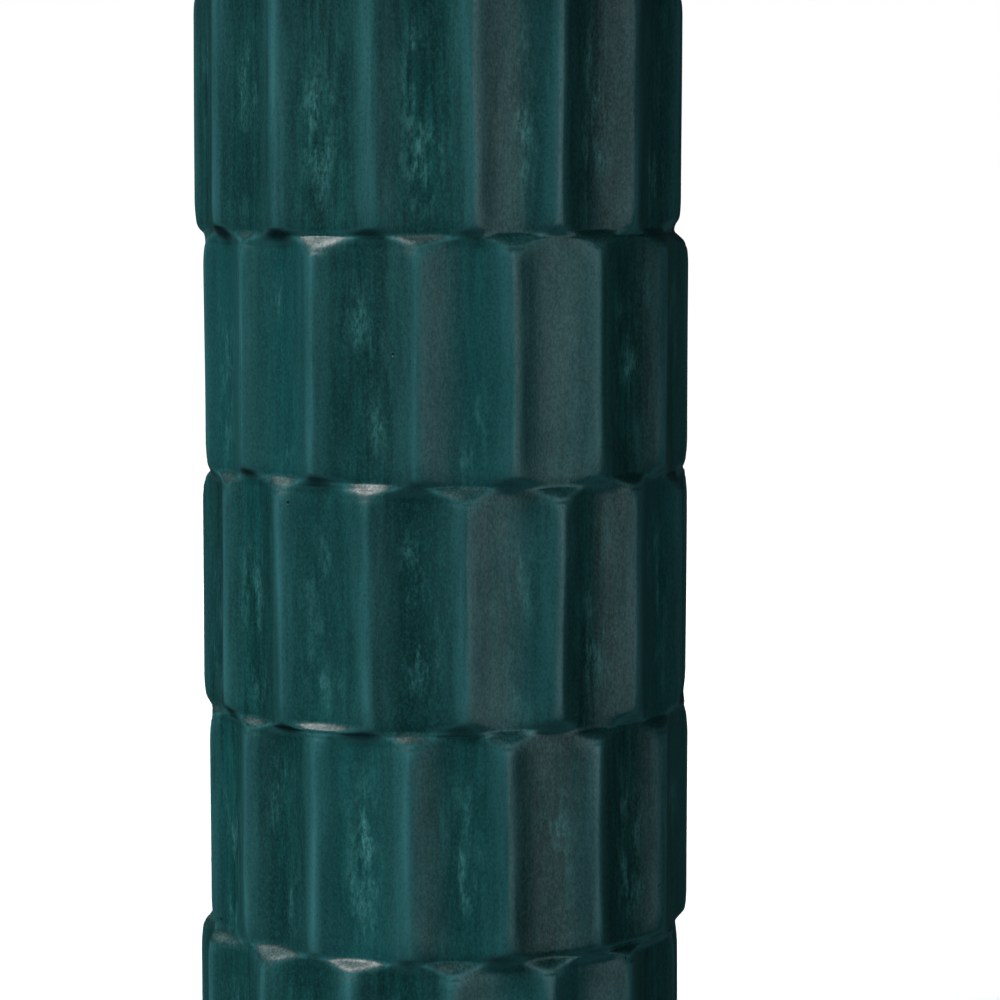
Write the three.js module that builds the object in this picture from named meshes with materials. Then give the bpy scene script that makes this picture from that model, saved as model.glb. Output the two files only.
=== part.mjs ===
// A tall cylindrical stoneware vase, built up from clay rings and carved by hand.
// Six wall courses stand on a base slab with a turned foot ring, and a rim band closes the top.
// At each joint a V tongue on the lower piece sits in a V groove in the upper one, luted with slip.
// Every course carries a row of upright concave flutes, and each row sits half a flute round
// from the row below, so a flute runs out on the ridge beneath it as a small sloping ledge.
// Millimetres, +Z up, origin at the centre of the foot. Bearings are in degrees round the
// axis: 0 faces -Y, and 90 faces +X.
import * as THREE from "three";

// Wall.
const RIDGE_RADIUS = 60; // axis to the crest of the ridges between flutes
const WALL_THICKNESS = 10.5; // at the ridges
const COURSE_HEIGHTS = [57, 54, 57.5, 57.5, 60, 55]; // bottom course first
const CREST_WOBBLE = 0.5; // how far a ridge may fall short of the ridge radius
const COURSE_DRIFT = [-0.9, 1.1, 0.4, 0.4, -0.9, 0]; // how far each course stands off towards +X
const DRIFT_BLEND = 5; // the height over which the wall passes from one drift to the next
const PINCH_DEPTH = 0.3; // how far the wall is drawn in at the joint between two courses
const PINCH_LENGTH = 6; // and how far above and below the joint that reaches

// Flutes.
const FLUTES = 16;
const FLUTE_DEPTH = 3.7; // below the ridge radius, at the middle of a flute
const DEPTH_WOBBLE = 0.25;
const END_WOBBLE = 1; // how far a flute's end may stand above or below its neighbours'
const RUN_OUT_LENGTH = 3.8; // the slope at the foot of a flute, where the tool lifts out
const RUN_OUT_OVERLAP = 2.4; // how much of it lies below the course
const RUN_IN_LENGTH = 6.4; // the blunt, rounded head of a flute
const RUN_IN_OVERLAP = 1.9; // how much of it lies above the course

// The bearings of the ridges on the front of each course, bottom course first.
// The ridges round the back share the rest of the circle evenly.
const FRONT_RIDGES = [
  [-72, -45.5, -22, 1.5, 25, 49, 74.5, 93],
  [-76, -53.5, -31.5, -8.5, 14.7, 38, 62, 85],
  [-62.5, -40.5, -17.5, 5.2, 27.7, 50.5, 74.5, 92],
  [-76.5, -53.5, -31, -6.5, 15.7, 38, 62.5, 85],
  [-64.2, -41, -16.5, 7, 28, 51, 75, 93],
  [-76, -52.5, -29, -5, 17.5, 40, 63, 86],
];

// Joints between the pieces.
const TONGUE_HEIGHT = 2.4;
const JOINT_SHOULDER = 0.9; // the flat left on each side of a groove
const SLIP_CLEARANCE = 0.3; // the film of slip round a tongue

// Base and foot.
const SLAB_THICKNESS = 8;
const SLAB_EDGE_ROUND = 2.2;
const FLOOR_RECESS = 0.8; // the floor is pressed this far below the wall's seat
const FLOOR_INSET = 1.5; // and stays this far inside the bore
const FOOT_HEIGHT = 4;
const FOOT_INSET = 7; // ridge radius to the outside of the foot
const FOOT_WIDTH = 9;
const FOOT_EDGE_ROUND = 1.2;

// Rim.
const RIM_HEIGHT = 12;
const LIP_OUTER_SET = 1.2; // ridge radius to the outside of the lip
const LIP_INNER_SET = 1.7; // bore to the inside of the lip

// How finely the pieces are faceted.
const FLUTE_COLUMNS = 4;
const ROUND_STEPS = 3;

const COURSES = COURSE_HEIGHTS.length;
const BORE_RADIUS = RIDGE_RADIUS - WALL_THICKNESS;
const JOINT_DRIFT = Math.max(...COURSE_DRIFT.slice(1).map((d, i) => Math.abs(d + COURSE_DRIFT[i]) / 2));
const CARVED_AWAY = FLUTE_DEPTH + DEPTH_WOBBLE + CREST_WOBBLE + PINCH_DEPTH + JOINT_DRIFT;
const THIN_WALL = WALL_THICKNESS - CARVED_AWAY; // what is left at the thinnest place of a joint
const TONGUE_RADIUS = BORE_RADIUS + THIN_WALL / 2;
const TONGUE_HALF_WIDTH = THIN_WALL / 2 - JOINT_SHOULDER - SLIP_CLEARANCE;
const FOOT_TONGUE_RADIUS = RIDGE_RADIUS - FOOT_INSET - FOOT_WIDTH / 2;
const WALL_FOOT = FOOT_HEIGHT + SLAB_THICKNESS;
const WALL_HEAD = courseFoot(COURSES);

const TEAL_GLAZE = { color: 0x14524f, roughness: 0.38, metalness: 0 };
const BARE_STONEWARE = { color: 0x9c8468, roughness: 0.85, metalness: 0 };

// The unevenness of handwork: a fixed number from -1 to 1 for each course, flute and kind.
function byHand(course, flute, kind) {
  const x = Math.sin(course * 12.9898 + flute * 78.233 + kind * 37.719) * 43758.5453;
  return 2 * (x - Math.floor(x)) - 1;
}

// The height where a course starts; the course below it ends there.
function courseFoot(course) {
  return COURSE_HEIGHTS.slice(0, course).reduce((z, height) => z + height, WALL_FOOT);
}

// The course that a height lies in; the slab counts as the lowest course, the rim as the top one.
function courseAt(z) {
  const course = COURSE_HEIGHTS.findIndex((_, i) => z < courseFoot(i + 1));
  return course < 0 ? COURSES - 1 : course;
}

// The bearings of all the ridges of a course, and the first one again a turn later.
function ridgeBearings(front) {
  const last = front[front.length - 1];
  const backFlutes = FLUTES - front.length + 1;
  const backPitch = (front[0] + 360 - last) / backFlutes;
  const back = Array.from({ length: backFlutes }, (_, i) => last + (i + 1) * backPitch);
  return [...front, ...back];
}

const RIDGES = FRONT_RIDGES.map(ridgeBearings);

// Which flute of a course a bearing falls in, and how far across it, from -1 to 1.
function placeInFlute(course, bearing) {
  const ridges = RIDGES[course];
  const turned = ridges[0] + THREE.MathUtils.euclideanModulo(bearing - ridges[0], 360);
  const flute = Math.max(0, ridges.findIndex((ridge) => ridge > turned) - 1);
  const middle = (ridges[flute] + ridges[flute + 1]) / 2;
  const halfWidth = (ridges[flute + 1] - ridges[flute]) / 2;
  return { flute, across: (turned - middle) / halfWidth };
}

// From 0 at the start of a slope to 1 at its end, level at both, and on up beyond.
function ease(share) {
  const along = Math.max(0, share);
  return along ** 2 * Math.max(3 - 2 * along, 1);
}

// How deep a course's own flutes cut at a bearing and height; negative where they don't reach.
function fluteCut(course, bearing, z) {
  const { flute, across } = placeInFlute(course, bearing);
  const depth = FLUTE_DEPTH + DEPTH_WOBBLE * byHand(course, flute, 1);
  const foot = courseFoot(course) + END_WOBBLE * byHand(course, flute, 2);
  const head = courseFoot(course + 1) + END_WOBBLE * byHand(course, flute, 3);
  const runOutTop = foot - RUN_OUT_OVERLAP + RUN_OUT_LENGTH;
  const runInFoot = head + RUN_IN_OVERLAP - RUN_IN_LENGTH;
  const runOut = ease((runOutTop - z) / RUN_OUT_LENGTH);
  const runIn = Math.max(0, (z - runInFoot) / RUN_IN_LENGTH);
  return depth * (1 - across ** 2 - runOut - runIn ** 4);
}

// How far the crest of the ridges round a bearing falls short of the ridge radius.
function crestShortfall(course, bearing) {
  const { flute, across } = placeInFlute(course, bearing);
  const left = byHand(course, flute, 4);
  const right = byHand(course, (flute + 1) % FLUTES, 4);
  return CREST_WOBBLE * (0.5 + 0.5 * THREE.MathUtils.lerp(left, right, (across + 1) / 2));
}

// How far the wall stands off towards +X at a height.
function drift(z) {
  return COURSE_DRIFT.reduce((sum, offset, course) => {
    const joint = courseFoot(course);
    const share = THREE.MathUtils.smoothstep(z, joint - DRIFT_BLEND / 2, joint + DRIFT_BLEND / 2);
    return sum + (offset - COURSE_DRIFT[course - 1]) * share;
  });
}

// How far the wall is drawn in at a height, by the joint between two courses.
function pinch(z) {
  const joints = COURSE_HEIGHTS.slice(1).map((_, course) => courseFoot(course + 1));
  const nearest = Math.min(...joints.map((joint) => Math.abs(z - joint)));
  return PINCH_DEPTH * Math.max(0, 1 - nearest / PINCH_LENGTH) ** 2;
}

// The outside radius of the carved wall.
function wallRadius(bearing, z) {
  const nearest = courseAt(z);
  const around = [nearest - 1, nearest, nearest + 1].filter((course) => RIDGES[course]);
  const cut = Math.max(0, ...around.map((course) => fluteCut(course, bearing, z)));
  const sideways = drift(z) * Math.sin(THREE.MathUtils.degToRad(bearing));
  return RIDGE_RADIUS - crestShortfall(nearest, bearing) - pinch(z) - cut + sideways;
}

// The bearings of a course's facets: each ridge, and the columns between it and the next.
function columnBearings(course) {
  const columns = [];
  for (let i = 0; i < FLUTES * FLUTE_COLUMNS; i++) {
    const flute = Math.floor(i / FLUTE_COLUMNS);
    const share = (i % FLUTE_COLUMNS) / FLUTE_COLUMNS;
    columns.push(THREE.MathUtils.lerp(RIDGES[course][flute], RIDGES[course][flute + 1], share));
  }
  return columns;
}

// A point of a profile on a turned face: a radius and a height.
function turned(radius, z) {
  return { radius, z, inset: null };
}

// A point of a profile on the carved face, or so far inside it, at a height.
function carved(z, inset = 0) {
  return { radius: RIDGE_RADIUS, z, inset };
}

// A quarter round: the radius and height of its centre, its own radius, and its first angle.
function quarterRound(centre, z, radius, from) {
  return Array.from({ length: ROUND_STEPS + 1 }, (_, i) => {
    const angle = THREE.MathUtils.degToRad(from + (90 * i) / ROUND_STEPS);
    return turned(centre + radius * Math.cos(angle), z + radius * Math.sin(angle));
  });
}

// The tongue on the top face of a piece, from the outside in.
function tongue(radius, z) {
  return [
    turned(radius + TONGUE_HALF_WIDTH, z),
    turned(radius, z + TONGUE_HEIGHT),
    turned(radius - TONGUE_HALF_WIDTH, z),
  ];
}

// The groove in the bottom face of a piece, from the inside out.
function groove(radius, z) {
  const halfWidth = TONGUE_HALF_WIDTH + SLIP_CLEARANCE;
  return [
    turned(radius - halfWidth, z),
    turned(radius, z + TONGUE_HEIGHT + SLIP_CLEARANCE),
    turned(radius + halfWidth, z),
  ];
}

// A piece turned from a profile, with its facets on the ridges of a course and its carved
// points brought to the carved face.
function turnedPiece(name, finish, course, profile) {
  const bearings = columnBearings(course);
  const outline = profile.map((p) => new THREE.Vector2(p.radius, p.z));
  const geometry = new THREE.LatheGeometry(outline, bearings.length);
  const position = geometry.getAttribute("position");
  for (let vertex = 0; vertex < position.count; vertex++) {
    const { radius, z, inset } = profile[vertex % profile.length];
    const bearing = bearings[Math.floor(vertex / profile.length) % bearings.length];
    const angle = THREE.MathUtils.degToRad(bearing);
    const out = inset === null ? radius : wallRadius(bearing, z) - inset;
    position.setXYZ(vertex, out * Math.sin(angle), -out * Math.cos(angle), z);
  }
  const mesh = new THREE.Mesh(geometry, new THREE.MeshStandardMaterial(finish));
  mesh.name = name;
  return mesh;
}

// The turned ring that the vase stands on, bare where it meets the shelf.
function footRing() {
  const outer = RIDGE_RADIUS - FOOT_INSET;
  const inner = outer - FOOT_WIDTH;
  const profile = [
    turned(inner, FOOT_HEIGHT),
    ...quarterRound(inner + FOOT_EDGE_ROUND, FOOT_EDGE_ROUND, FOOT_EDGE_ROUND, 180),
    ...quarterRound(outer - FOOT_EDGE_ROUND, FOOT_EDGE_ROUND, FOOT_EDGE_ROUND, 270),
    turned(outer, FOOT_HEIGHT),
    ...tongue(FOOT_TONGUE_RADIUS, FOOT_HEIGHT),
  ];
  return turnedPiece("foot_ring", BARE_STONEWARE, 0, [...profile, profile[0]]);
}

// The floor of the vase. Its edge is the plain band under the lowest flutes, rounded below.
function baseSlab() {
  const floorRadius = BORE_RADIUS - FLOOR_INSET;
  const edgeFoot = FOOT_HEIGHT + SLAB_EDGE_ROUND;
  return turnedPiece("base_slab", TEAL_GLAZE, 0, [
    turned(0, FOOT_HEIGHT),
    ...groove(FOOT_TONGUE_RADIUS, FOOT_HEIGHT),
    carved(FOOT_HEIGHT, SLAB_EDGE_ROUND),
    carved(FOOT_HEIGHT + SLAB_EDGE_ROUND / 3, SLAB_EDGE_ROUND / 3),
    carved(edgeFoot),
    carved((edgeFoot + WALL_FOOT) / 2),
    carved(WALL_FOOT),
    ...tongue(TONGUE_RADIUS, WALL_FOOT),
    turned(floorRadius + FLOOR_RECESS, WALL_FOOT),
    turned(floorRadius, WALL_FOOT - FLOOR_RECESS),
    turned(0, WALL_FOOT - FLOOR_RECESS),
  ]);
}

function wallCourse(course) {
  const foot = courseFoot(course);
  const head = courseFoot(course + 1);
  const profile = [
    carved(foot),
    carved(foot + RUN_OUT_LENGTH - RUN_OUT_OVERLAP),
    carved(foot + RUN_IN_OVERLAP + END_WOBBLE),
    carved(head + RUN_IN_OVERLAP - RUN_IN_LENGTH - END_WOBBLE),
    carved(head - RUN_OUT_OVERLAP / 2),
    carved(head),
    ...tongue(TONGUE_RADIUS, head),
    turned(BORE_RADIUS, head),
    turned(BORE_RADIUS, foot),
    ...groove(TONGUE_RADIUS, foot),
  ];
  return turnedPiece(`wall_course_${course + 1}`, TEAL_GLAZE, course, [...profile, profile[0]]);
}

// The plain band that takes the heads of the top flutes, and rolls over to the mouth.
function rimBand() {
  const lipOuter = RIDGE_RADIUS - LIP_OUTER_SET;
  const lipInner = BORE_RADIUS + LIP_INNER_SET;
  const lipRound = (lipOuter - lipInner) / 2;
  const lipMiddle = (lipOuter + lipInner) / 2;
  const lipFoot = WALL_HEAD + RIM_HEIGHT - lipRound;
  const profile = [
    carved(WALL_HEAD),
    carved(WALL_HEAD + RUN_IN_OVERLAP / 2),
    carved(WALL_HEAD + RUN_IN_OVERLAP + END_WOBBLE),
    ...quarterRound(lipMiddle, lipFoot, lipRound, 0),
    ...quarterRound(lipMiddle, lipFoot, lipRound, 90).slice(1),
    turned(BORE_RADIUS, WALL_HEAD),
    ...groove(TONGUE_RADIUS, WALL_HEAD),
  ];
  return turnedPiece("rim_band", TEAL_GLAZE, COURSES - 1, [...profile, profile[0]]);
}

const vase = new THREE.Group();
vase.name = "stoneware_vase";
vase.add(footRing(), baseSlab());
for (let course = 0; course < COURSES; course++) {
  vase.add(wallCourse(course));
}
vase.add(rimBand());

export default vase;
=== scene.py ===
"""A tall stoneware vase: clay rings, carved with staggered rows of flutes and glazed teal.

The wall is six rings of clay on a base slab, with a turned foot below and a rim band above.
Each clay piece of the frame gets a finely made piece in its place, named after it.
Metres, +Z up, origin at the centre of the foot. Bearings are in degrees round the axis:
0 faces -Y, where the camera stands, and 90 faces +X.
"""
import math

import bmesh
import bpy
import numpy as np
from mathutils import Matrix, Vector


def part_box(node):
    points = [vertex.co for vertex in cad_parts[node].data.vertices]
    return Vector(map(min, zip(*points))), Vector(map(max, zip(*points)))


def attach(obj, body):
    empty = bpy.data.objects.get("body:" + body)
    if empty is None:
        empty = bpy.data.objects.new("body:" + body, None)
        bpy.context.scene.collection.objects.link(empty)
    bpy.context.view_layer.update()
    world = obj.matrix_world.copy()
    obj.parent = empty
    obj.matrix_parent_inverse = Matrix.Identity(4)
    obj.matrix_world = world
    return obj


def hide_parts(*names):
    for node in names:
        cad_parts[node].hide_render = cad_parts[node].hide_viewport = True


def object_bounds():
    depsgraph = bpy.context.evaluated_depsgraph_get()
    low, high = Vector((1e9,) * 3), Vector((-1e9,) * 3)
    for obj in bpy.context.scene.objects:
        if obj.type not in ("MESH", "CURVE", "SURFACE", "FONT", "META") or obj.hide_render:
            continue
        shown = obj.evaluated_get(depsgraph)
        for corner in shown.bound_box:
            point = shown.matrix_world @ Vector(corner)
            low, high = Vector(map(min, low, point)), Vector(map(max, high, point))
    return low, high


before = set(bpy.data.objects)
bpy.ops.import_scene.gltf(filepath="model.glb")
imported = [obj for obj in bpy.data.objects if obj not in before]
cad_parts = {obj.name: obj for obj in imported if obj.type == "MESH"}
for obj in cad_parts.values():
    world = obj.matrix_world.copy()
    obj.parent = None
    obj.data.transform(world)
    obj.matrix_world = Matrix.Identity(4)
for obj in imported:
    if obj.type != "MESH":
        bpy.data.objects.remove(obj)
CAD_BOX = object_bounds()
MM = 0.001

# ---- The wall, as the clay pieces of the frame have it -------------------------------------------
COURSES = 6
FLUTES = 16
RIDGE_RADIUS = 60 * MM
WALL_THICKNESS = 10.5 * MM
BORE_RADIUS = RIDGE_RADIUS - WALL_THICKNESS
CREST_WOBBLE = 0.5 * MM
COURSE_DRIFT = [-0.9 * MM, 1.1 * MM, 0.4 * MM, 0.4 * MM, -0.9 * MM, 0]  # towards +X
DRIFT_BLEND = 5 * MM
JOINT_DRIFT = max(abs(a + b) / 2 for a, b in zip(COURSE_DRIFT, COURSE_DRIFT[1:]))
FLUTE_DEPTH = 3.7 * MM
DEPTH_WOBBLE = 0.25 * MM
END_WOBBLE = 1.0 * MM
RUN_OUT_LENGTH = 3.8 * MM
RUN_OUT_OVERLAP = 2.4 * MM
RUN_IN_LENGTH = 6.4 * MM
RUN_IN_OVERLAP = 1.9 * MM
PINCH_DEPTH = 0.3 * MM
PINCH_LENGTH = 6 * MM
FRONT_RIDGES = [
    [-72, -45.5, -22, 1.5, 25, 49, 74.5, 93],
    [-76, -53.5, -31.5, -8.5, 14.7, 38, 62, 85],
    [-62.5, -40.5, -17.5, 5.2, 27.7, 50.5, 74.5, 92],
    [-76.5, -53.5, -31, -6.5, 15.7, 38, 62.5, 85],
    [-64.2, -41, -16.5, 7, 28, 51, 75, 93],
    [-76, -52.5, -29, -5, 17.5, 40, 63, 86],
]

# Heights of the joints, from the frame: each piece starts where the one below it ends.
FOOT_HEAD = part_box("base_slab")[0][2]
JOINTS = [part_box(f"wall_course_{i + 1}")[0][2] for i in range(COURSES)]
JOINTS.append(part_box("rim_band")[0][2])
WALL_FOOT = JOINTS[0]
WALL_HEAD = JOINTS[-1]
VASE_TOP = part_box("rim_band")[1][2]

# Joints, foot, slab and rim.
TONGUE_HEIGHT = 2.4 * MM
JOINT_SHOULDER = 0.9 * MM
SLIP_CLEARANCE = 0.3 * MM
THIN_WALL = WALL_THICKNESS - FLUTE_DEPTH - DEPTH_WOBBLE - CREST_WOBBLE - PINCH_DEPTH - JOINT_DRIFT
TONGUE_RADIUS = BORE_RADIUS + THIN_WALL / 2
TONGUE_HALF_WIDTH = THIN_WALL / 2 - JOINT_SHOULDER - SLIP_CLEARANCE
SLAB_EDGE_ROUND = 2.2 * MM
FLOOR_RECESS = 0.8 * MM
FLOOR_INSET = 1.5 * MM
FOOT_INSET = 7 * MM
FOOT_WIDTH = 9 * MM
FOOT_EDGE_ROUND = 1.2 * MM
FOOT_TONGUE_RADIUS = RIDGE_RADIUS - FOOT_INSET - FOOT_WIDTH / 2
LIP_OUTER_SET = 1.2 * MM
LIP_INNER_SET = 1.7 * MM

# How finely the surface is made.
COLUMNS = 720
ROW_HEIGHT = 0.62 * MM
BORE_ROW_HEIGHT = 4 * MM
MOUTH_ROW_HEIGHT = 1 * MM
EDGE_STEPS = 6
LIP_STEPS = 12
CARVED_FROM_RADIUS = 56 * MM  # the carving fades in from here
CARVED_FADE = 2 * MM
CREASE_SOFTNESS = 0.72 * MM  # how far the glaze rounds a ridge
JOINT_SOFTNESS = 0.65 * MM  # how much further at a joint, where the ledges were sponged
SPONGED_LENGTH = 8 * MM  # how far from the joint that reaches
SOFTNESS_KEPT_OUT = 0.5  # the share of the softness by which the rounded wall stands out again
THIN_GLAZE_DEPTH = 1.8 * MM  # how far down from a ridge the glaze runs thin
SAME_RADIUS = 0.001 * MM

# The kinds of handwork unevenness, each with a number of its own.
CUT_DEPTH, FOOT_END, HEAD_END, CREST_HEIGHT, GLAZE_TONE = 1, 2, 3, 4, 5


# ---- Carving ------------------------------------------------------------------------------------
def by_hand(course, flute, kind):
    """The unevenness of handwork: a fixed number from -1 to 1 for each course, flute and kind."""
    x = np.sin(course * 12.9898 + flute * 78.233 + kind * 37.719) * 43758.5453
    return 2 * (x - np.floor(x)) - 1


def ridge_bearings(front):
    """All the ridges of a course: those on the front, then the rest of the circle shared evenly."""
    back_flutes = FLUTES - len(front) + 1
    back_pitch = (front[0] + 360 - front[-1]) / back_flutes
    return np.array(front + [front[-1] + (i + 1) * back_pitch for i in range(back_flutes)])


RIDGES = [ridge_bearings(front) for front in FRONT_RIDGES]


def place_in_flute(course, bearing):
    """Which flute of a course each bearing falls in, and how far across it, from -1 to 1."""
    ridges = RIDGES[course]
    turned = ridges[0] + np.mod(bearing - ridges[0], 360)
    flute = np.clip(np.searchsorted(ridges, turned, side="right") - 1, 0, FLUTES - 1)
    return flute, across_flute(ridges, flute, turned)


def across_flute(ridges, flute, bearing):
    """How far across a flute a bearing is, from -1 to 1, and further out beyond its ridges."""
    middle = (ridges[flute] + ridges[flute + 1]) / 2
    half_width = (ridges[flute + 1] - ridges[flute]) / 2
    off_middle = np.mod(bearing - middle + 180, 360) - 180
    return off_middle / half_width


def ease(share):
    """From 0 at the start of a slope to 1 at its end, level at both, and on up beyond."""
    share = np.maximum(0, share)
    return share**2 * np.maximum(3 - 2 * share, 1)


def scoop(course, flute, across, z):
    """How deep one flute cuts; negative where it doesn't reach."""
    depth = FLUTE_DEPTH + DEPTH_WOBBLE * by_hand(course, flute, CUT_DEPTH)
    foot = JOINTS[course] + END_WOBBLE * by_hand(course, flute, FOOT_END)
    head = JOINTS[course + 1] + END_WOBBLE * by_hand(course, flute, HEAD_END)
    run_out = ease((foot - RUN_OUT_OVERLAP + RUN_OUT_LENGTH - z) / RUN_OUT_LENGTH)
    run_in = np.maximum(0, (z - (head + RUN_IN_OVERLAP - RUN_IN_LENGTH)) / RUN_IN_LENGTH)
    return depth * (1 - across**2 - run_out - run_in**4)


def flute_cuts(course, bearing, z):
    """How deep the two nearest flutes of a course cut at each point."""
    flute, across = place_in_flute(course, bearing)
    next_door = np.mod(flute + np.where(across < 0, -1, 1), FLUTES)
    across_next = across_flute(RIDGES[course], next_door, bearing)
    return scoop(course, flute, across, z), scoop(course, next_door, across_next, z)


def crest_shortfall(course, bearing):
    """How far the crest of the ridges round a bearing falls short of the ridge radius."""
    flute, across = place_in_flute(course, bearing)
    left = by_hand(course, flute, CREST_HEIGHT)
    right = by_hand(course, (flute + 1) % FLUTES, CREST_HEIGHT)
    return CREST_WOBBLE * (0.5 + 0.5 * (left + (right - left) * (across + 1) / 2))


def softness_at(z):
    """How far creases are rounded at a height."""
    nearest = np.min([np.abs(z - joint) for joint in JOINTS], axis=0)
    return CREASE_SOFTNESS + JOINT_SOFTNESS * ease(1 - nearest / SPONGED_LENGTH)


def soft_max(cuts, softness):
    """The deepest of several cuts, with the creases between them rounded over."""
    deepest = cuts.max(axis=0)
    return deepest + softness * np.log(np.exp((cuts - deepest) / softness).sum(axis=0))


def waver(bearing, z):
    """How far, in degrees, the tool strayed sideways as it was drawn down the wall."""
    turn = np.radians(bearing)
    slow = 0.30 * np.sin(3 * turn + z / (23 * MM) + 1.3)
    quick = 0.16 * np.sin(8 * turn - z / (9 * MM) + 0.4)
    return slow + quick


def drift(bearing, z):
    """How far out each point is moved by its course standing a little off the axis."""
    sideways = np.full(len(z), COURSE_DRIFT[0])
    for course in range(1, COURSES):
        share = np.clip((z - JOINTS[course]) / DRIFT_BLEND + 0.5, 0, 1)
        sideways += (COURSE_DRIFT[course] - COURSE_DRIFT[course - 1]) * ease(share)
    return sideways * np.sin(np.radians(bearing))


def pinch(z):
    """How far the wall is drawn in round the joint between two courses."""
    nearest = np.min([np.abs(z - joint) for joint in JOINTS[1:-1]], axis=0)
    return PINCH_DEPTH * np.maximum(0, 1 - nearest / PINCH_LENGTH) ** 2


def throwing(bearing, z):
    """The slight unevenness of the wall itself."""
    turn = np.radians(bearing)
    broad = 0.16 * MM * np.sin(2 * turn + z / (60 * MM))
    fine = 0.08 * MM * np.sin(5 * turn - z / (25 * MM))
    return broad + fine


def carve(bearing, z):
    """The outside of the wall: its radius, how near each point is to a crease, from 0 to 1, and
    the course whose flute it lies in."""
    stand_off = drift(bearing, z) + throwing(bearing, z)
    bearing = bearing + waver(bearing, z)
    pairs = [flute_cuts(course, bearing, z) for course in range(COURSES)]
    cuts = np.array([cut for pair in pairs for cut in pair] + [np.zeros(len(z))])
    ranked = np.sort(cuts, axis=0)
    softness = softness_at(z)
    cut = soft_max(cuts, softness) - softness * SOFTNESS_KEPT_OUT
    own = np.clip(np.searchsorted(JOINTS, z, side="right") - 1, 0, COURSES - 1)
    shortfall = np.choose(own, [crest_shortfall(course, bearing) for course in range(COURSES)])
    radius = RIDGE_RADIUS - shortfall - pinch(z) - cut + stand_off
    crease = np.exp(-(ranked[-1] - ranked[-2]) / THIN_GLAZE_DEPTH)
    return radius, crease, np.argmax(cuts[:-1], axis=0) // 2


# ---- Turned outlines ----------------------------------------------------------------------------
def quarter_round(centre, z, radius, start, steps):
    """A quarter circle of outline points from a start angle in degrees, turning left."""
    angles = [math.radians(start + 90 * i / steps) for i in range(steps + 1)]
    return [(centre + radius * math.cos(a), z + radius * math.sin(a)) for a in angles]


def straight(start, end, step):
    """Outline points from start to end, no further apart than step, without the end."""
    count = max(1, math.ceil(math.dist(start, end) / step))
    across, up = end[0] - start[0], end[1] - start[1]
    return [(start[0] + across * i / count, start[1] + up * i / count) for i in range(count)]


def tongue(radius, z):
    """The V on top of a ring, from its outer foot to its inner one."""
    tip = (radius, z + TONGUE_HEIGHT)
    return [(radius + TONGUE_HALF_WIDTH, z), tip, (radius - TONGUE_HALF_WIDTH, z)]


def groove(radius, z):
    """The V under a ring that takes the tongue and a film of slip, from its inner edge out."""
    half_width = TONGUE_HALF_WIDTH + SLIP_CLEARANCE
    tip = (radius, z + TONGUE_HEIGHT + SLIP_CLEARANCE)
    return [(radius - half_width, z), tip, (radius + half_width, z)]


def course_outline(course):
    """One ring of the wall, before carving."""
    foot, head = JOINTS[course], JOINTS[course + 1]
    return [
        *straight((RIDGE_RADIUS, foot), (RIDGE_RADIUS, head), ROW_HEIGHT),
        (RIDGE_RADIUS, head),
        *tongue(TONGUE_RADIUS, head),
        *straight((BORE_RADIUS, head), (BORE_RADIUS, foot), BORE_ROW_HEIGHT),
        (BORE_RADIUS, foot),
        *groove(TONGUE_RADIUS, foot),
    ]


def slab_outline():
    """The base slab, with its rounded edge and its pressed floor."""
    floor_radius = BORE_RADIUS - FLOOR_INSET
    edge_foot = FOOT_HEAD + SLAB_EDGE_ROUND
    return [
        (0, FOOT_HEAD),
        *groove(FOOT_TONGUE_RADIUS, FOOT_HEAD),
        *quarter_round(
            RIDGE_RADIUS - SLAB_EDGE_ROUND, edge_foot, SLAB_EDGE_ROUND, 270, EDGE_STEPS)[:-1],
        *straight((RIDGE_RADIUS, edge_foot), (RIDGE_RADIUS, WALL_FOOT), ROW_HEIGHT),
        (RIDGE_RADIUS, WALL_FOOT),
        *tongue(TONGUE_RADIUS, WALL_FOOT),
        (floor_radius + FLOOR_RECESS, WALL_FOOT),
        (floor_radius, WALL_FOOT - FLOOR_RECESS),
        (0, WALL_FOOT - FLOOR_RECESS),
    ]


def foot_outline():
    """The turned foot ring, rounded where it stands."""
    outer = RIDGE_RADIUS - FOOT_INSET
    inner = outer - FOOT_WIDTH
    edge = FOOT_EDGE_ROUND
    return [
        (inner, FOOT_HEAD),
        *quarter_round(inner + edge, edge, edge, 180, EDGE_STEPS),
        *quarter_round(outer - edge, edge, edge, 270, EDGE_STEPS),
        (outer, FOOT_HEAD),
        *tongue(FOOT_TONGUE_RADIUS, FOOT_HEAD),
    ]


def rim_outline():
    """The rim band, with its rolled lip and the mouth narrowing down to the bore."""
    lip_outer = RIDGE_RADIUS - LIP_OUTER_SET
    lip_inner = BORE_RADIUS + LIP_INNER_SET
    lip_round = (lip_outer - lip_inner) / 2
    lip_middle = (lip_outer + lip_inner) / 2
    lip_foot = VASE_TOP - lip_round
    band_head = WALL_HEAD + RUN_IN_OVERLAP + END_WOBBLE
    return [
        *straight((RIDGE_RADIUS, WALL_HEAD), (RIDGE_RADIUS, band_head), ROW_HEIGHT),
        (RIDGE_RADIUS, band_head),
        *quarter_round(lip_middle, lip_foot, lip_round, 0, LIP_STEPS),
        *quarter_round(lip_middle, lip_foot, lip_round, 90, LIP_STEPS)[1:],
        *straight((lip_inner, lip_foot), (BORE_RADIUS, WALL_HEAD), MOUTH_ROW_HEIGHT)[1:],
        (BORE_RADIUS, WALL_HEAD),
        *groove(TONGUE_RADIUS, WALL_HEAD),
    ]


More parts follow.
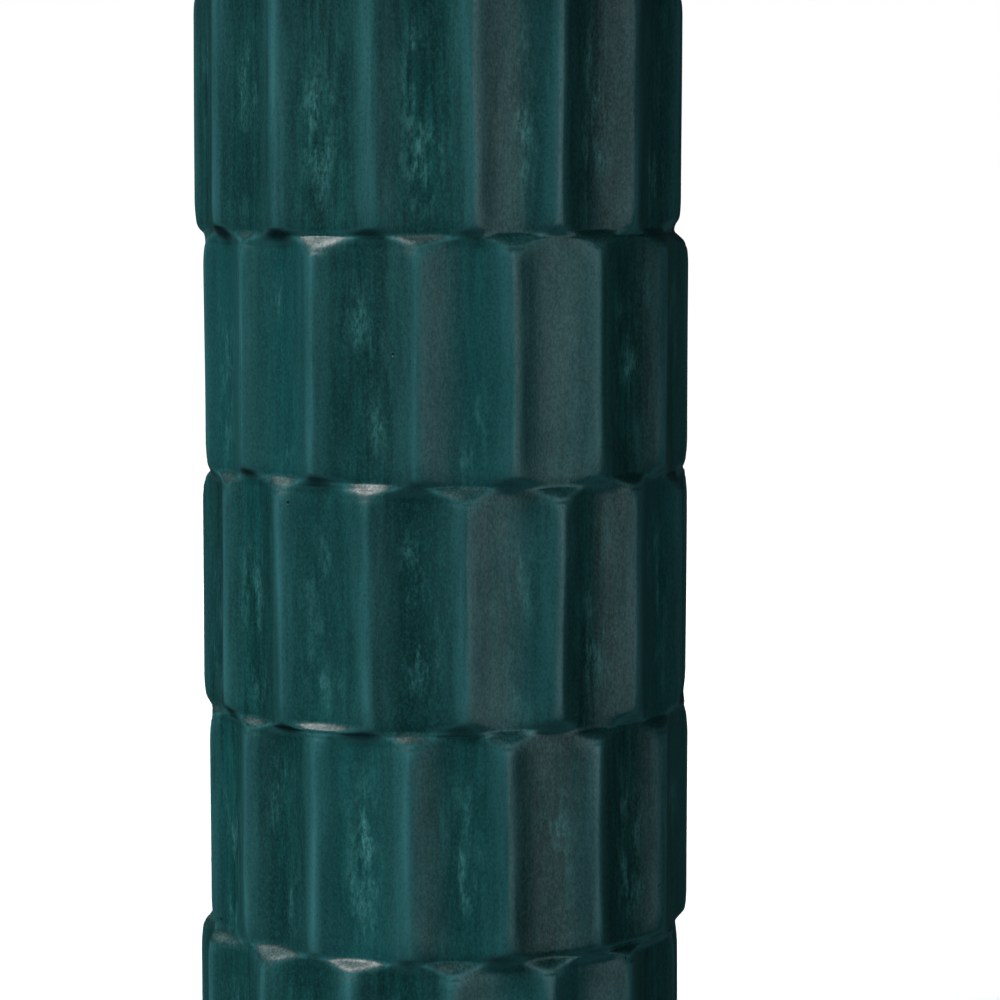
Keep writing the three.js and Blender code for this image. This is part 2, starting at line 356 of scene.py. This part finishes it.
# ---- Making a piece -----------------------------------------------------------------------------
def turn_outline(name, outline, closed):
    """A solid turned on the wheel from an outline in the plane that faces the camera."""
    bm = bmesh.new()
    points = [bm.verts.new((0, -radius, z)) for radius, z in outline]
    ends = points[1:] + points[:1] if closed else points[1:]
    for pair in zip(points, ends):
        bm.edges.new(pair)
    section = bpy.data.meshes.new(name)
    bm.to_mesh(section)
    blank = bpy.data.objects.new(name, section)
    bpy.context.scene.collection.objects.link(blank)
    wheel = blank.modifiers.new("wheel", "SCREW")
    wheel.axis = "Z"
    wheel.angle = math.tau
    wheel.steps = wheel.render_steps = COLUMNS
    wheel.use_merge_vertices = True
    wheel.merge_threshold = 1e-6
    spun = blank.evaluated_get(bpy.context.evaluated_depsgraph_get())
    turned = bpy.data.meshes.new_from_object(spun)
    bpy.data.objects.remove(blank)

    bm.clear()
    bm.from_mesh(turned)
    bmesh.ops.remove_doubles(bm, verts=bm.verts, dist=1e-7)
    bmesh.ops.recalc_face_normals(bm, faces=bm.faces)
    for face in bm.faces:
        face.smooth = True
    bm.to_mesh(turned)
    bm.free()
    turned.name = name
    return turned


def read_points(mesh):
    """The places of a mesh's points, one to a row."""
    flat = np.empty(len(mesh.vertices) * 3)
    mesh.vertices.foreach_get("co", flat)
    return flat.reshape(-1, 3)


def bearings_and_radii(points):
    """Each point's bearing in degrees and its distance from the axis."""
    x, y = points[:, 0], points[:, 1]
    return np.degrees(np.arctan2(x, -y)), np.hypot(x, y)


def carve_piece(mesh):
    """Brings the outside of a turned piece to the carved surface, and notes on each point how
    thin the glaze runs there and where in its flute it lies. Returns which points are on the
    straight outside and which are in the bore."""
    points = read_points(mesh)
    bearing, radius = bearings_and_radii(points)
    share = np.clip((radius - CARVED_FROM_RADIUS) / CARVED_FADE, 0, 1)
    outside = share > 0
    z = points[outside, 2]
    surface, crease, course = carve(bearing[outside], z)
    scale = 1 + share[outside] * (surface - RIDGE_RADIUS) / radius[outside]
    points[outside, 0] *= scale
    points[outside, 1] *= scale
    mesh.vertices.foreach_set("co", points.ravel())
    mesh.update()

    thin = np.zeros(len(points))
    thin[outside] = crease
    across = np.zeros(len(points))
    along = np.zeros(len(points))
    tone = np.zeros(len(points))
    joints = np.array(JOINTS)
    for i in range(COURSES):
        mine = course == i
        flute, place = place_in_flute(i, bearing[outside][mine])
        picked = np.flatnonzero(outside)[mine]
        across[picked] = place
        along[picked] = (z[mine] - joints[i]) / (joints[i + 1] - joints[i])
        tone[picked] = by_hand(i, flute, GLAZE_TONE)
    for label, values in {"thin": thin, "across": across, "along": along, "tone": tone}.items():
        attribute = mesh.attributes.new(label, "FLOAT", "POINT")
        attribute.data.foreach_set("value", values)
    return np.abs(radius - RIDGE_RADIUS) < SAME_RADIUS, np.abs(radius - BORE_RADIUS) < SAME_RADIUS


def blend_normals(mesh, outside, bore):
    """Gives the outside the normals of the whole carved wall, and the bore those of one straight
    bore, so that no joint between two rings shows under the glaze."""
    points = read_points(mesh)[outside]
    bearing, radius = bearings_and_radii(points)
    z = points[:, 2]
    step_bearing, step_z = 0.2, 0.2 * MM
    round_slope = (carve(bearing + step_bearing, z)[0] - carve(bearing - step_bearing, z)[0])
    round_slope /= 2 * np.radians(step_bearing) * radius
    rise_slope = (carve(bearing, z + step_z)[0] - carve(bearing, z - step_z)[0]) / (2 * step_z)
    turn = np.radians(bearing)
    out = np.stack([np.sin(turn), -np.cos(turn), np.zeros_like(turn)], axis=1)
    side = np.stack([np.cos(turn), np.sin(turn), np.zeros_like(turn)], axis=1)
    normal = out - side * round_slope[:, None]
    normal[:, 2] -= rise_slope
    normal /= np.linalg.norm(normal, axis=1)[:, None]

    flat = np.empty(len(mesh.vertices) * 3)
    mesh.vertex_normals.foreach_get("vector", flat)
    normals = flat.reshape(-1, 3)
    normals[outside] = normal
    inward = -read_points(mesh)[bore]
    inward[:, 2] = 0
    normals[bore] = inward / BORE_RADIUS
    mesh.normals_split_custom_set_from_vertices(normals)

    tilt = np.zeros(len(mesh.vertices))
    tilt[outside] = normal[:, 2]
    attribute = mesh.attributes.new("tilt", "FLOAT", "POINT")
    attribute.data.foreach_set("value", tilt)


def add_piece(name, node, mesh, material):
    """Puts a piece in the place of the frame's node."""
    piece = bpy.data.objects.new(name, mesh)
    bpy.context.scene.collection.objects.link(piece)
    mesh.materials.append(material)
    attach(piece, "root")
    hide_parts(node)


def make_vase(glaze, bare_clay):
    foot = turn_outline("turned_foot_ring", foot_outline(), closed=True)
    add_piece("turned_foot_ring", "foot_ring", foot, bare_clay)
    outlines = {"base_slab": slab_outline(), "rim_band": rim_outline()}
    for course in range(COURSES):
        outlines[f"wall_course_{course + 1}"] = course_outline(course)
    for node, outline in outlines.items():
        mesh = turn_outline(f"glazed_{node}", outline, closed=node != "base_slab")
        blend_normals(mesh, *carve_piece(mesh))
        add_piece(f"glazed_{node}", node, mesh, glaze)


# ---- Finishes -----------------------------------------------------------------------------------
DEEP_TEAL = (0.0006, 0.014, 0.0138, 1)
MID_TEAL = (0.0010, 0.060, 0.057, 1)
DARK_CLOUD = (0.0008, 0.015, 0.0155, 1)
GREY_TEAL = (0.0055, 0.068, 0.074, 1)
PALE_FLECK = (0.055, 0.235, 0.235, 1)
# pale thin glaze on the ridges, also used as painted fill light where the wall faces down
THIN_GLAZE_AND_PAINTED_FILL_TEAL = (0.036, 0.158, 0.172, 1)
GRAIN_TEAL = (0.010, 0.125, 0.125, 1)
# dark glaze pooled on the ledges, partly painted shade for the shadow cast on them
POOLED_GLAZE_AND_PAINTED_SHADE_TEAL = (0.0004, 0.012, 0.012, 1)
PINHOLE_DARK = (0.0006, 0.006, 0.006, 1)
DARK_BUFF = (0.30, 0.20, 0.125, 1)
PALE_BUFF = (0.42, 0.31, 0.21, 1)
TOASTED_CLAY = (0.30, 0.17, 0.09, 1)
IRON_SPECK = (0.055, 0.032, 0.02, 1)


def new_finish(name):
    """An empty material, with its shader and output."""
    material = bpy.data.materials.new(name)
    material.use_nodes = True
    tree = material.node_tree
    tree.nodes.clear()
    shader = tree.nodes.new("ShaderNodeBsdfPrincipled")
    output = tree.nodes.new("ShaderNodeOutputMaterial")
    tree.links.new(shader.outputs["BSDF"], output.inputs["Surface"])
    return material, tree, shader


def put(tree, kind, inputs=None, **settings):
    """A node with its settings, and its inputs set to values or linked to other nodes' outputs."""
    node = tree.nodes.new(kind)
    for key, value in settings.items():
        setattr(node, key, value)
    for key, value in (inputs or {}).items():
        if isinstance(value, bpy.types.NodeSocket):
            tree.links.new(value, node.inputs[key])
        else:
            node.inputs[key].default_value = value
    return node


def clay_place(tree, scale=(1, 1, 1)):
    """Object coordinates in millimetres, stretched."""
    place = put(tree, "ShaderNodeTexCoord").outputs["Object"]
    in_mm = [1 / MM * s for s in scale]
    return put(tree, "ShaderNodeMapping", {"Vector": place, "Scale": in_mm}).outputs["Vector"]


def noise(tree, place, size, detail=3.0, roughness=0.5, distortion=0.0):
    """Noise from 0 to 1 with features of a size in millimetres."""
    return put(tree, "ShaderNodeTexNoise", {"Vector": place, "Scale": 1 / size, "Detail": detail,
               "Roughness": roughness, "Distortion": distortion}).outputs["Fac"]


def spread(tree, value, low, high, to_low=0.0, to_high=1.0):
    """A value taken smoothly from one range to another."""
    ends = {"Value": value, "From Min": low, "From Max": high, "To Min": to_low, "To Max": to_high}
    node = put(tree, "ShaderNodeMapRange", ends, interpolation_type="SMOOTHSTEP")
    return node.outputs["Result"]


def work_out(tree, operation, a, b):
    return put(tree, "ShaderNodeMath", {0: a, 1: b}, operation=operation).outputs["Value"]


def product(tree, a, b):
    return work_out(tree, "MULTIPLY", a, b)


def magnitude(tree, a):
    return work_out(tree, "ABSOLUTE", a, 0)


def tint(tree, share, under, over):
    """One colour over another, by share. The colour sockets of the node go by number, because
    its sockets for plain values have the same names."""
    node = put(tree, "ShaderNodeMix", {0: share, 6: under, 7: over}, data_type="RGBA")
    return node.outputs[2]


def note(tree, label):
    """What carve_piece and blend_normals noted on the points."""
    return put(tree, "ShaderNodeAttribute", attribute_name=label).outputs["Fac"]


def teal_glaze():
    """Satin teal glaze: deep in the flutes, thin and pale on the ridges, with upright streaks,
    clouds of pale flecks where it was brushed on thick, and a few pinholes."""
    material, tree, shader = new_finish("satin_teal_glaze")
    upright = clay_place(tree, (1, 1, 0.08))
    even = clay_place(tree)
    notes = ("thin", "across", "along", "tone", "tilt")
    thin, across, along, tone, tilt = (note(tree, label) for label in notes)

    # Brushed streaks and broad clouds, no two flutes quite alike, and each flute darker towards its
    # sides.
    streaks = noise(tree, upright, 1.6, detail=7, roughness=0.74)
    clouds = noise(tree, clay_place(tree, (1, 1, 0.3)), 9, detail=3, roughness=0.6)
    colour = tint(tree, spread(tree, streaks, 0.36, 0.64), DEEP_TEAL, MID_TEAL)
    colour = tint(tree, spread(tree, clouds, 0.4, 0.66, 0, 0.8), colour, DARK_CLOUD)
    colour = tint(tree, spread(tree, tone, 0, 1, 0, 0.6), colour, GREY_TEAL)
    colour = tint(tree, spread(tree, tone, 0, -1, 0, 0.5), colour, DEEP_TEAL)
    colour = tint(tree, spread(tree, magnitude(tree, across), 0.3, 0.7, 0, 0.3), colour, DEEP_TEAL)

    # Pale flecks down the middle of a flute.
    mid_flute = spread(tree, magnitude(tree, across), 0.7, 0.0)
    mid_course = spread(tree, magnitude(tree, work_out(tree, "SUBTRACT", along, 0.45)), 0.5, 0.15)
    flecks = noise(tree, clay_place(tree, (1, 1, 0.4)), 0.9, detail=6, roughness=0.8)
    wisps = noise(tree, clay_place(tree, (1, 1, 0.3)), 3.5, detail=4, roughness=0.65)
    wisps = spread(tree, wisps, 0.42, 0.62)
    patches = spread(tree, noise(tree, clay_place(tree, (1, 1, 0.4)), 12, detail=2), 0.4, 0.62)
    where = product(tree, product(tree, product(tree, mid_flute, mid_course), patches), wisps)
    fleck_share = product(tree, where, spread(tree, flecks, 0.4, 0.62, 0.1, 1.0))
    colour = tint(tree, fleck_share, colour, PALE_FLECK)

    # Thin glaze over the ridges, painted fill light where the wall faces down, and dark glaze
    # pooled on the ledges with painted shade for the shadow cast on them.
    ragged = spread(tree, noise(tree, upright, 3.0, detail=4), 0.3, 0.7, 0.5, 1.0)
    colour = tint(tree, product(tree, product(tree, thin, ragged), 0.9), colour, THIN_GLAZE_AND_PAINTED_FILL_TEAL)
    # Painted fill light: the wall that faces down is tinted paler, to lift the shade that falls
    # under it.
    colour = tint(tree, spread(tree, tilt, -0.08, -0.55, 0, 0.9), colour, THIN_GLAZE_AND_PAINTED_FILL_TEAL)
    # Partly painted shade: the ledges that face up are darkened, for glaze pooled there and for the
    # shadow the ridges cast on them.
    colour = tint(tree, spread(tree, tilt, 0.12, 0.5, 0, 0.8), colour, POOLED_GLAZE_AND_PAINTED_SHADE_TEAL)

    # The fine grain of the clay under the glaze.
    grain = noise(tree, clay_place(tree, (1, 1, 0.6)), 0.55, detail=4, roughness=0.8)
    colour = tint(tree, spread(tree, grain, 0.48, 0.68, 0, 0.34), colour, GRAIN_TEAL)
    colour = tint(tree, spread(tree, grain, 0.5, 0.34, 0, 0.3), colour, DEEP_TEAL)

    # Pinholes, where a bubble broke.
    holes = put(tree, "ShaderNodeTexVoronoi", {"Vector": even, "Scale": 1 / 9.0, "Randomness": 1.0})
    hole_here = spread(tree, holes.outputs["Distance"], 0.055, 0.03)
    cell = put(tree, "ShaderNodeSeparateColor", {"Color": holes.outputs["Color"]}).outputs["Red"]
    pinhole = product(tree, hole_here, spread(tree, cell, 0.55, 0.6))
    colour = tint(tree, product(tree, pinhole, 0.85), colour, PINHOLE_DARK)

    # Satin, duller in the flecks and on the ledges, with brush ripples, dimples and pinholes.
    gloss = spread(tree, streaks, 0.3, 0.7, 0.30, 0.38)
    gloss = work_out(tree, "ADD", gloss, product(tree, fleck_share, 0.12))
    gloss = work_out(tree, "ADD", gloss, spread(tree, tilt, 0.1, 0.5, 0, 0.1))
    ripple = product(tree, noise(tree, upright, 1.3, detail=4), 0.5)
    dimple = product(tree, noise(tree, even, 1.4, detail=2), 0.3)
    relief = work_out(tree, "SUBTRACT", work_out(tree, "ADD", ripple, dimple), pinhole)
    bump = put(tree, "ShaderNodeBump", {"Height": relief, "Strength": 0.55, "Distance": 0.15 * MM})

    cloud_shine = spread(tree, clouds, 0.35, 0.65, 0.62, 0.42)
    shine = product(tree, spread(tree, grain, 0.34, 0.66, 0.6, 1.25), cloud_shine)

    tree.links.new(colour, shader.inputs["Base Color"])
    tree.links.new(shine, shader.inputs["Specular IOR Level"])
    tree.links.new(gloss, shader.inputs["Roughness"])
    tree.links.new(bump.outputs["Normal"], shader.inputs["Normal"])
    shader.inputs["IOR"].default_value = 1.4
    return material


def bare_clay():
    """Unglazed fired stoneware: warm buff, with fine grog and iron specks."""
    material, tree, shader = new_finish("bare_stoneware_clay")
    even = clay_place(tree)
    grain = noise(tree, even, 0.6, detail=5, roughness=0.7)
    colour = tint(tree, spread(tree, grain, 0.3, 0.7), DARK_BUFF, PALE_BUFF)
    toast = noise(tree, even, 14, detail=2)
    colour = tint(tree, spread(tree, toast, 0.4, 0.7, 0, 0.5), colour, TOASTED_CLAY)
    specks = put(tree, "ShaderNodeTexVoronoi", {"Vector": even, "Scale": 1 / 2.6})
    speck = spread(tree, specks.outputs["Distance"], 0.16, 0.08, 0, 0.8)
    colour = tint(tree, speck, colour, IRON_SPECK)
    bump = put(tree, "ShaderNodeBump", {"Height": grain, "Strength": 0.5, "Distance": 0.15 * MM})
    tree.links.new(colour, shader.inputs["Base Color"])
    tree.links.new(spread(tree, grain, 0.3, 0.7, 0.78, 0.92), shader.inputs["Roughness"])
    tree.links.new(bump.outputs["Normal"], shader.inputs["Normal"])
    return material


# ---- Stage, light and camera --------------------------------------------------------------------
CAMERA_DISTANCE = 15.6 * RIDGE_RADIUS
CAMERA_HEIGHT = JOINTS[4] + 23 * MM
CAMERA_TILT = 5.4  # degrees below level
CAMERA_YAW = 0.85  # degrees to the right of the vase's axis
CAMERA_LENS = 138.2
VASE_MIDDLE = Vector((0, 0, (CAD_BOX[0][2] + CAD_BOX[1][2]) / 2))
FLOOR_HALF_WIDTH = 30
WHITE = (1.0, 1.0, 1.0)
BACK_WHITE = (0.95, 1.0, 1.0)
COOL_WHITE = (0.9, 1.0, 1.0)
PALE_SKY = (0.85, 1.0, 1.0)
WINDOW_BLUE = (0.72, 0.95, 1.0)


def set_camera():
    data = bpy.data.cameras.new("camera")
    data.lens = CAMERA_LENS
    data.sensor_width = 36
    camera = bpy.data.objects.new("camera", data)
    camera.location = (0, -CAMERA_DISTANCE, CAMERA_HEIGHT)
    camera.rotation_euler = (math.radians(90 - CAMERA_TILT), 0, math.radians(-CAMERA_YAW))
    bpy.context.scene.collection.objects.link(camera)
    bpy.context.scene.camera = camera


def set_floor():
    """A wide, plain, pale floor."""
    material, tree, shader = new_finish("pale_floor")
    paper = noise(tree, clay_place(tree), 40, detail=3)
    colour = tint(tree, paper, (0.95, 0.95, 0.95, 1), (0.97, 0.97, 0.97, 1))
    tree.links.new(colour, shader.inputs["Base Color"])
    shader.inputs["Roughness"].default_value = 0.9
    bm = bmesh.new()
    bmesh.ops.create_grid(bm, x_segments=4, y_segments=4, size=FLOOR_HALF_WIDTH)
    mesh = bpy.data.meshes.new("floor")
    bm.to_mesh(mesh)
    bm.free()
    mesh.materials.append(material)
    floor = bpy.data.objects.new("floor", mesh)
    floor.visible_glossy = False
    floor.visible_diffuse = False
    bpy.context.scene.collection.objects.link(floor)


def from_bearing(bearing, elevation, distance):
    """A place at a bearing and elevation as seen from the middle of the vase."""
    turn, rise = math.radians(bearing), math.radians(elevation)
    flat, up = distance * math.cos(rise), distance * math.sin(rise)
    return VASE_MIDDLE + Vector((flat * math.sin(turn), -flat * math.cos(turn), up))


def add_light(data, place):
    """A light at a place, turned to face the vase."""
    light = bpy.data.objects.new(data.name, data)
    light.location = place
    light.rotation_euler = (VASE_MIDDLE - light.location).to_track_quat("-Z", "Y").to_euler()
    bpy.context.scene.collection.objects.link(light)
    return light


def set_softbox(name, bearing, elevation, distance, size, radiance, colour,
                reflected_only=False, diffuse_only=False):
    """A rectangular softbox, turned to face the vase."""
    data = bpy.data.lights.new(name, "AREA")
    data.shape = "RECTANGLE"
    data.size, data.size_y = size
    data.energy = math.pi * size[0] * size[1] * radiance
    data.color = colour
    light = add_light(data, from_bearing(bearing, elevation, distance))
    light.visible_diffuse = not reflected_only
    light.visible_glossy = not diffuse_only


def set_sun(bearing, elevation, strength, spread_angle):
    """The high, wide main light from the upper left."""
    data = bpy.data.lights.new("main_light", "SUN")
    data.energy = strength
    data.angle = math.radians(spread_angle)
    add_light(data, from_bearing(bearing, elevation, distance=3))


def set_surroundings():
    """White as the backdrop, and dim grey as light."""
    world = bpy.data.worlds.new("studio")
    bpy.context.scene.world = world
    world.use_nodes = True
    tree = world.node_tree
    tree.nodes.clear()
    seen = put(tree, "ShaderNodeBackground", {"Color": (1, 1, 1, 1), "Strength": 1.0})
    lit = put(tree, "ShaderNodeBackground", {"Color": (0.7, 0.95, 1, 1), "Strength": 0.025})
    ray = put(tree, "ShaderNodeLightPath").outputs["Is Camera Ray"]
    mix = put(tree, "ShaderNodeMixShader", {0: ray, 1: lit.outputs[0], 2: seen.outputs[0]})
    output = put(tree, "ShaderNodeOutputWorld")
    tree.links.new(mix.outputs[0], output.inputs["Surface"])


def set_studio():
    set_camera()
    set_floor()
    set_surroundings()
    set_sun(bearing=-57, elevation=51, strength=4.8, spread_angle=24)
    set_softbox("top_softbox", -118, 60, 1.5, (1.3, 1.3), 4.0, PALE_SKY, reflected_only=True)
    set_softbox("right_softbox", 50, 3, 1.6, (1.4, 1.5), 1.35, WINDOW_BLUE, reflected_only=True)
    set_softbox("right_fill", 42, 5, 1.6, (1.2, 1.2), 1.75, WHITE, diffuse_only=True)
    set_softbox("left_softbox", -62, 5, 1.6, (0.9, 1.5), 0.1, COOL_WHITE, reflected_only=True)
    set_softbox("back_fill", 172, 12, 1.8, (1.4, 1.2), 1.6, BACK_WHITE, diffuse_only=True)
    bpy.context.scene.view_settings.view_transform = "Standard"


set_studio()
make_vase(teal_glaze(), bare_clay())
